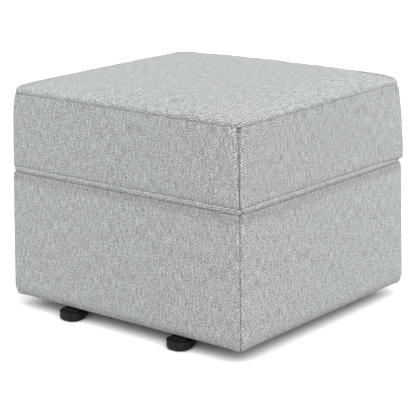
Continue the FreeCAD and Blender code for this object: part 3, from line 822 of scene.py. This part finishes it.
def make_lining():
    """The lining: a grid that hangs in a low dome, deepest in the middle, less the cells in its slots."""
    xs = grid_lines([lining_low.x, -slot_outer, -slot_inner, slot_inner, slot_outer, lining_high.x],
                    [14, 4, 28, 4, 14])
    ys = grid_lines([lining_low.y, -slot_half_long, slot_half_long, lining_high.y], [6, 50, 6])
    x, y = np.meshgrid(xs, ys)
    dome = (1 - (x / lining_high.x) ** 4) * (1 - (y / lining_high.y) ** 4)
    wave = waves(x, np.array([60, 95]) * mm, 51) * waves(y, np.array([70, 120]) * mm, 52)
    z = lining_high.z - 0.4 * mm - 1.6 * mm * dome - 0.5 * mm * wave * dome
    faces = grid_faces(*x.shape)
    middle_x = x.ravel()[faces].mean(axis=1)
    middle_y = y.ravel()[faces].mean(axis=1)
    inside = (np.abs(np.abs(middle_x) - (slot_inner + slot_outer) / 2) < (slot_outer - slot_inner) / 2)
    faces = faces[~(inside & (np.abs(middle_y) < slot_half_long))]
    flat = np.stack([x.ravel()[faces], y.ravel()[faces]], axis=-1)
    return thicken(mesh_object("lining", np.stack([x, y, z], axis=-1), faces, flat), 0.5 * mm)


lining = make_lining()
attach(lining, "seat_box")
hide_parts("dust_cover")

# %% [markdown]
# Wire staples hold the lining. Only the flat crown of a staple shows, since its legs are in the wood, so a
# short bar is repeated along the edge. The stitches at the corner seams are made the same way: one short
# thread, repeated down the groove.

# %% Small repeated pieces
def bars(name, centres, directions, widths):
    """Little blocks: each from a centre (n, 3), a unit direction (n, 3) and length, width and height."""
    corners = np.array([[-1, -1, -1], [1, -1, -1], [1, 1, -1], [-1, 1, -1],
                        [-1, -1, 1], [1, -1, 1], [1, 1, 1], [-1, 1, 1]]) / 2
    up = np.where(np.abs(directions[:, 2:3]) > 0.5, np.array([[1.0, 0, 0]]), np.array([[0, 0, 1.0]]))
    side = np.cross(up, directions)
    side = side / np.linalg.norm(side, axis=1, keepdims=True)
    top = np.cross(directions, side)
    axes = np.stack([directions, side, top], axis=1) * np.array(widths)[None, :, None]
    points = centres[:, None] + np.einsum("ck,nkj->ncj", corners, axes)
    faces = np.array([[0, 3, 2, 1], [4, 5, 6, 7], [0, 1, 5, 4], [1, 2, 6, 5], [2, 3, 7, 6], [3, 0, 4, 7]])
    all_faces = (faces[None] + 8 * np.arange(len(centres))[:, None, None]).reshape(-1, 4)
    piece = mesh_object(name, points, all_faces)
    soft = piece.modifiers.new("Soft edges", "BEVEL")
    soft.width = min(widths) * 0.3
    soft.segments = 2
    return piece


def make_staples():
    """Staples round the lining, a finger's width in from its edge, each a little askew."""
    inset, from_corner = 7 * mm, 12 * mm
    on_long, on_short = 18, 16
    reach_x, reach_y = lining_high.x - inset, lining_high.y - inset
    along_x = np.linspace(-reach_x + from_corner, reach_x - from_corner, on_long)
    along_y = np.linspace(-reach_y + from_corner, reach_y - from_corner, on_short)
    level = lining_high.z - 1.05 * mm
    rows = [(along_x, np.full(on_long, -reach_y)), (along_x, np.full(on_long, reach_y)),
            (np.full(on_short, -reach_x), along_y), (np.full(on_short, reach_x), along_y)]
    centres = np.concatenate([np.stack([x, y, np.full(len(x), level)], axis=-1) for x, y in rows])
    tilt = np.random.default_rng(61).uniform(-0.2, 0.2, len(centres))
    base = np.concatenate([np.zeros(2 * on_long), np.full(2 * on_short, math.pi / 2)]) + tilt
    directions = np.stack([np.cos(base), np.sin(base), 0 * base], axis=-1)
    return bars("lining_staples", centres, directions, (10 * mm, 1.1 * mm, 0.6 * mm))


staples = make_staples()
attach(staples, "seat_box")


def make_stitches(side, depth, name):
    """Threads down the right seam of a face, set back in its groove."""
    along = np.arange(0.1, 0.9, stitch_pitch / side.height) * side.height
    points = side.points(np.array([side.width]), along)[:, 0]
    turn = FACES.index(side.face) * math.pi / 2 - math.pi / 4
    out = np.array([math.cos(turn), math.sin(turn), 0])
    if side in band_sides:
        points = settle(points)
    centres = points - out * depth
    directions = np.tile([0.12, 0.12, 0.985], (len(centres), 1))
    return bars(name, centres, directions / np.linalg.norm(directions[0]), (3.1 * mm, 0.7 * mm, 0.7 * mm))


stitches = [make_stitches(side, depth=2.9 * mm, name="box_stitches_" + side.face) for side in box_sides]
stitches += [make_stitches(side, depth=4.6 * mm, name="cushion_stitches_" + side.face) for side in band_sides]
for piece in stitches:
    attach(piece, "seat_box")

# %% [markdown]
# The hard materials read Object coordinates, since those pieces keep their place. Powder coat and moulded
# plastic are near black with a fine grain; zinc has soft spangles; wood has long grain, and plywood shows its
# layers.

# %% Hard materials
def make_powder_coat():
    """Satin black powder coat with a fine orange peel."""
    steps = Steps("black_powder_coat")
    place = object_place(steps)
    dust = steps.noise(place, 18.0, 4.0)
    colour = steps.blend(dust, (0.012, 0.012, 0.013, 1), (0.028, 0.028, 0.029, 1))
    steps.bump(steps.noise(place, 900.0, 2.0), 0.25, 0.1 * mm)
    rough = steps.math("MULTIPLY_ADD", steps.noise(place, 60.0), 0.2, 0.32)
    return steps.finish(Base_Color=colour, Roughness=rough)


def make_shoe_plastic():
    """Moulded black plastic, fine grained, with faint lighter scuffs."""
    steps = Steps("black_moulded_plastic")
    place = object_place(steps)
    scuff = steps.noise(place, 140.0, 5.0, 0.65)
    colour = steps.blend(scuff, (0.004, 0.004, 0.0045, 1), (0.012, 0.012, 0.0125, 1))
    steps.bump(steps.noise(place, 1600.0, 1.0), 0.35, 0.12 * mm)
    rough = steps.math("MULTIPLY_ADD", scuff, 0.25, 0.34)
    return steps.finish(Base_Color=colour, Roughness=rough, Specular_IOR_Level=0.15)


def make_zinc():
    """Bright zinc plate with faint spangles."""
    steps = Steps("zinc_plate")
    place = object_place(steps)
    spangle = steps.add("ShaderNodeTexVoronoi", place, None, 350.0)
    colour = steps.blend(spangle, (0.52, 0.52, 0.50, 1), (0.72, 0.72, 0.70, 1))
    rough = steps.math("MULTIPLY_ADD", steps.noise(place, 200.0, 3.0), 0.25, 0.22)
    steps.bump(steps.noise(place, 700.0), 0.1, 0.05 * mm)
    return steps.finish(Base_Color=colour, Roughness=rough, Metallic=1.0)


def make_nylon():
    """Milky natural nylon with faint turning marks."""
    steps = Steps("natural_nylon")
    place = object_place(steps)
    cloud = steps.noise(place, 80.0, 3.0)
    colour = steps.blend(cloud, (0.66, 0.64, 0.58, 1), (0.80, 0.79, 0.74, 1))
    steps.bump(steps.noise(place, 1200.0), 0.15, 0.05 * mm)
    return steps.finish(Base_Color=colour, Roughness=0.42, Subsurface_Weight=0.1)


def make_plywood():
    """Plywood: thin light and dark layers through its thickness, and long grain."""
    steps = Steps("birch_plywood")
    grain = steps.noise(steps.mapped(object_place(steps), Scale=(4.0, 40.0, 160.0)), 1.0, 5.0, 0.6)
    colour = steps.blend(grain, (0.44, 0.30, 0.17, 1), (0.72, 0.56, 0.37, 1))
    steps.bump(grain, 0.3, 0.2 * mm)
    return steps.finish(Base_Color=colour, Roughness=0.72)


def make_beech():
    """Planed beech: pinkish tan with long grain and short dark flecks."""
    steps = Steps("planed_beech")
    grain = steps.noise(steps.mapped(object_place(steps), Scale=(60.0, 5.0, 60.0)), 1.0, 6.0, 0.62)
    colour = steps.blend(grain, (0.48, 0.31, 0.19, 1), (0.78, 0.58, 0.40, 1))
    steps.bump(grain, 0.25, 0.15 * mm)
    return steps.finish(Base_Color=colour, Roughness=0.58)


def make_lining_cloth():
    """Black pressed-fibre cloth, dimpled in a small diamond pattern by its rollers."""
    steps = Steps("black_pressed_cloth")
    place = object_place(steps)
    fibre = steps.noise(place, 900.0, 4.0, 0.7)
    turned = steps.mapped(place, Rotation=(0, 0, math.pi / 4))
    dimple = steps.add("ShaderNodeTexVoronoi", turned, None, 500.0)
    colour = steps.blend(fibre, (0.006, 0.006, 0.007, 1), (0.035, 0.035, 0.036, 1))
    steps.bump(steps.math("ADD", dimple, steps.math("MULTIPLY", fibre, 0.5)), 0.5, 0.2 * mm)
    return steps.finish(Base_Color=colour, Roughness=0.95, Specular_IOR_Level=0.2)


def make_thread():
    """Twisted sewing thread, darker than the cloth."""
    steps = Steps("grey_thread")
    place = object_place(steps)
    twist = steps.noise(place, 2500.0, 2.0)
    colour = steps.blend(twist, (0.09, 0.10, 0.09, 1), (0.20, 0.22, 0.20, 1))
    steps.bump(twist, 0.5, 0.1 * mm)
    return steps.finish(Base_Color=colour, Roughness=0.7, Sheen_Weight=0.1)


finishes = {"black_steel": make_powder_coat(), "foot_plastic": make_shoe_plastic(), "zinc_steel": make_zinc(),
            "bush_nylon": make_nylon(), "plywood": make_plywood(), "beech": make_beech(),
            "lining_cloth": make_lining_cloth(), "upholstery": tweed, "foam": tweed}
thread = make_thread()
lining.data.materials.append(finishes["lining_cloth"])
staples.data.materials.append(finishes["zinc_steel"])
for piece in stitches:
    piece.data.materials.append(thread)
for subpart in record["subparts"]:
    part = nodes[subpart["node"]]
    part.data.materials.clear()
    part.data.materials.append(finishes[subpart["material_slot"]])
print(len(record["subparts"]), "model nodes finished")

# %% [markdown]
# The photograph is a studio shot on white. A large soft lamp overhead, a little to the right, makes the top
# lightest and the right side lighter than the front, and the world fills the rest evenly. A small lamp beside
# each far end makes the sides fall off towards the near corner. The floor is white paper: camera rays see it
# lighter than it is, so it runs out to plain white and keeps only the near shadow.

# %% Floor, lamps and world
def make_floor():
    """A wide white floor that shows as white away from the shadow."""
    half = 30.0
    corners = half * np.array([[-1, -1, 0], [1, -1, 0], [1, 1, 0], [-1, 1, 0]])
    floor = mesh_object("floor", corners, np.array([[0, 1, 2, 3]]))
    steps = Steps("white_floor")
    path = steps.tree.nodes.new("ShaderNodeLightPath")
    seen = steps.math("MAXIMUM", path.outputs["Is Camera Ray"], path.outputs["Is Glossy Ray"])
    seen = steps.math("MAXIMUM", seen, path.outputs["Is Transmission Ray"])
    plain = steps.add("ShaderNodeBsdfDiffuse", (0.46, 0.46, 0.46, 1))
    shown = steps.add("ShaderNodeBsdfDiffuse", (0.96, 0.96, 0.96, 1))
    mixed = steps.add("ShaderNodeMixShader", seen, plain, shown)
    steps.tree.links.new(mixed, steps.tree.nodes["Material Output"].inputs["Surface"])
    floor.data.materials.append(steps.material)


def place_lamp(lamp, place, aim):
    """A holder for a lamp at a place, turned towards an aim."""
    holder = bpy.data.objects.new(lamp.name, lamp)
    bpy.context.scene.collection.objects.link(holder)
    holder.location = place
    holder.rotation_euler = (Vector(place) - Vector(aim)).to_track_quat("Z", "Y").to_euler()


def make_lamp(name, direction, spread, strength):
    """A wide far lamp: parallel light from one direction, softened by its spread."""
    lamp = bpy.data.lights.new(name, "SUN")
    lamp.angle = math.radians(spread)
    lamp.energy = strength
    place_lamp(lamp, direction, (0, 0, 0))


def make_side_lamp(name, place, power):
    """A square lamp beside the ottoman, aimed at its cushion."""
    lamp = bpy.data.lights.new(name, "AREA")
    lamp.size = 0.6
    lamp.energy = power
    place_lamp(lamp, place, (0, 0, 0.35))


def make_world():
    """Even fill light, with plain white behind the object."""
    world = bpy.data.worlds.new("studio")
    world.use_nodes = True
    bpy.context.scene.world = world
    tree = world.node_tree
    path = tree.nodes.new("ShaderNodeLightPath")
    mixed = tree.nodes.new("ShaderNodeMixShader")
    tree.links.new(path.outputs["Is Camera Ray"], mixed.inputs["Fac"])
    fill, white = tree.nodes["Background"], tree.nodes.new("ShaderNodeBackground")
    for socket, node, strength in ((mixed.inputs[1], fill, 0.85), (mixed.inputs[2], white, 1.0)):
        node.inputs["Color"].default_value = (1, 1, 1, 1)
        node.inputs["Strength"].default_value = strength
        tree.links.new(node.outputs[0], socket)
    tree.links.new(mixed.outputs[0], tree.nodes["World Output"].inputs["Surface"])


make_floor()
make_lamp("soft_box", (0.52, -0.48, 0.70), 80, 2.6)
make_side_lamp("left_lamp", (-1.15, -1.05, 0.75), 3.0)
make_side_lamp("right_lamp", (1.05, 1.10, 0.75), 5.5)
make_world()

# %% [markdown]
# The camera stands where the photograph was taken from. Its direction, distance and lens were worked out from
# how the box's edges converge: a long lens from three metres, a little above.

# %% Camera
azimuth = math.radians(39.416)
pitch = math.radians(14.863)
roll = math.radians(-0.712)
camera_distance = 3.0607
target_height = 0.1913
target_right = -2.05 * mm
lens = 132.47


def make_camera():
    """A camera on a sphere round its target; the roll turns it about its own line of sight."""
    level = math.cos(pitch)
    back = np.array([math.sin(azimuth) * level, -math.cos(azimuth) * level, math.sin(pitch)])
    right = np.cross(-back, [0, 0, 1.0])
    right /= np.linalg.norm(right)
    up = np.cross(right, -back)
    place = np.array([0, 0, target_height]) + target_right * right + back * camera_distance
    turned_right = math.cos(roll) * right + math.sin(roll) * up
    turned_up = -math.sin(roll) * right + math.cos(roll) * up
    data = bpy.data.cameras.new("camera")
    data.sensor_width = 36
    data.lens = lens
    data.clip_end = 100
    camera = bpy.data.objects.new("camera", data)
    bpy.context.scene.collection.objects.link(camera)
    columns = np.array([turned_right, turned_up, back, place]).T
    camera.matrix_world = Matrix([*columns.tolist(), [0, 0, 0, 1]])
    bpy.context.scene.camera = camera


make_camera()
bpy.context.scene.view_settings.view_transform = "Standard"
